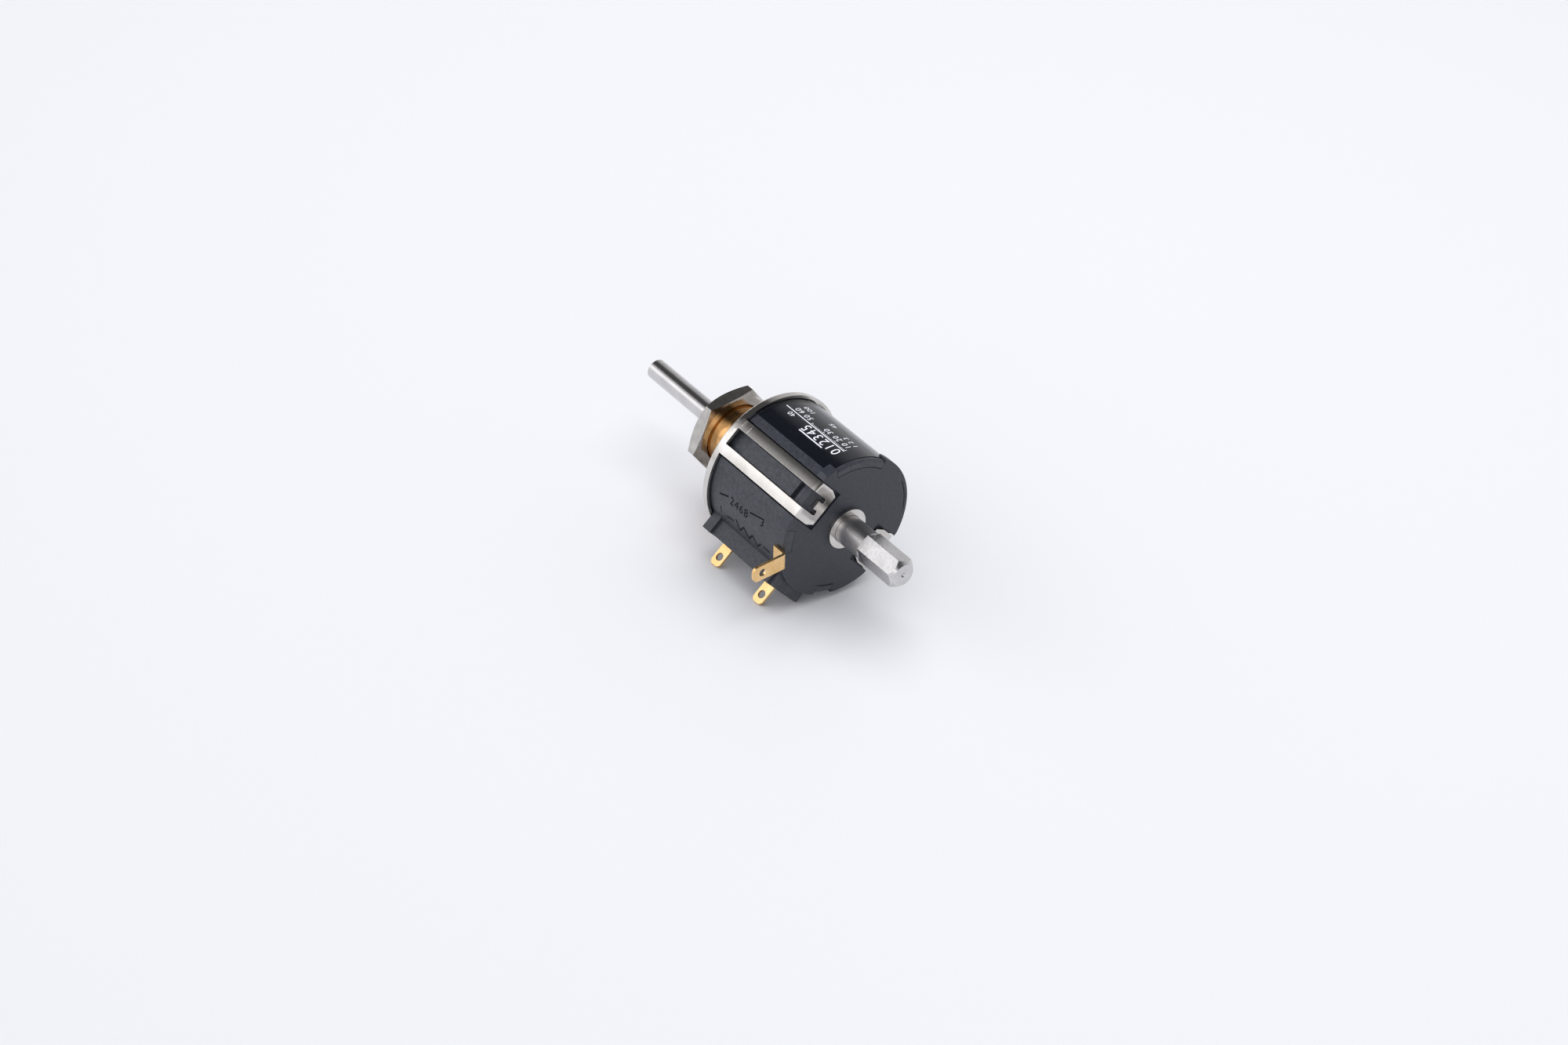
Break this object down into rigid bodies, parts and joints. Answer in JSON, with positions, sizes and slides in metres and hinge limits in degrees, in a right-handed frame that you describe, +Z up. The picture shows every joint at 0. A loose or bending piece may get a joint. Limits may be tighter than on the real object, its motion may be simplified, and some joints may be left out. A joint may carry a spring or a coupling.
{
  "type": "multiturn wirewound potentiometer",
  "caption": "Multiturn wirewound potentiometer with round black body, strapped nickel plate, brass bushing, hex nut, solder lugs and a rear hexagonal shaft end.",
  "frame": {"origin": "shaft axis at the front mounting face of the clamp plate", "axes": "+X along the shaft towards the knob end, +Z up with the body lying on its side, terminals towards +Y and down"},
  "size_m": [0.0583, 0.0278, 0.0233],
  "materials": {
    "nickel_plate": "satin nickel plating",
    "brass": "turned",
    "black_plastic": "glass-filled, matte",
    "cover_plastic": "satin",
    "label": "glossy film",
    "gold": "gold flash",
    "resistance_wire": "fine close winding",
    "steel": "ground",
    "rotor_plastic": "natural moulding"
  },
  "bodies": {
    "case": {"clamp_plate": "nickel_plate", "bushing": "brass", "housing": "black_plastic", "rear_cover": "cover_plastic", "label": "label", "terminal_start": "gold", "terminal_end": "gold", "terminal_wiper": "gold", "resistance_helix": "resistance_wire", "end_clip_start": "brass", "end_clip_end": "brass", "stop_pin_front": "steel", "stop_pin_rear": "steel", "brush_spring": "gold", "rear_bearing": "nickel_plate"},
    "rotor": {"shaft": "steel", "front_washer": "steel", "rear_washer": "steel", "rotor_hub": "rotor_plastic", "guide_rod_a": "steel", "guide_rod_b": "steel", "slip_ring": "brass"},
    "carriage": {"carriage": "rotor_plastic", "wiper_arm": "gold", "wiper_tip": "gold"},
    "nut": {"hex_nut": "nickel_plate"}
  },
  "joints": [
    {"name": "shaft_turn", "type": "hinge", "parent": "case", "child": "rotor", "pos_m": [0, 0, 0], "axis": [-1, 0, 0], "range_deg": [0, 1080]},
    {"name": "carriage_travel", "type": "slide", "parent": "rotor", "child": "carriage", "axis": [-1, 0, 0], "range_m": [0, 0.0099]},
    {"name": "nut_turn", "type": "hinge", "parent": "case", "child": "nut", "pos_m": [0.00863, 0, 0], "axis": [1, 0, 0], "range_deg": [0, 360]}
  ],
  "couplings": [
    {"joint": "shaft_turn", "follows": "carriage_travel", "rad_per_m": 1904}
  ]
}
